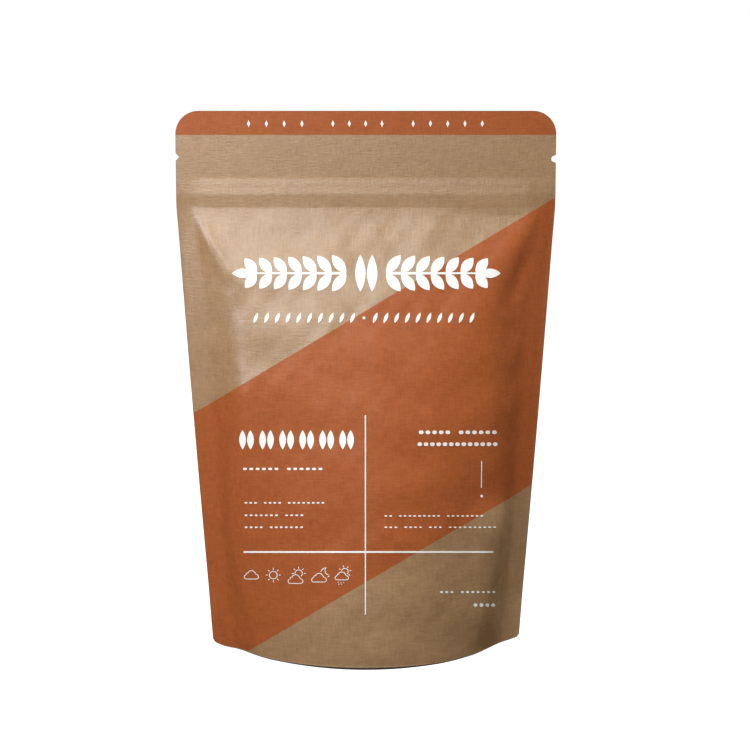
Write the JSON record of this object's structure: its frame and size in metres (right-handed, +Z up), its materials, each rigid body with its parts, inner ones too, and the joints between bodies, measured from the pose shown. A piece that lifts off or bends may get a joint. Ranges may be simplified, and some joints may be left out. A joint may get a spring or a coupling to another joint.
{
  "type": "kraft stand-up pouch",
  "caption": "Filled, shut stand-up pouch of kraft paper with a flat header, tear notches, a press-to-close ridge and an opened foot gusset.",
  "frame": {"origin": "on the surface the pouch stands on, under the middle of its foot", "axes": "+Z up along the pouch's height, +X to the right across its width as seen from the front, -Y out of the front wall"},
  "size_m": [0.16, 0.0676, 0.2325],
  "materials": {
    "kraft_paper": "matt laminated brown kraft paper",
    "white_print": "opaque white ink printed on the kraft paper"
  },
  "bodies": {
    "root": {"pouch": "kraft_paper"}
  },
  "joints": []
}
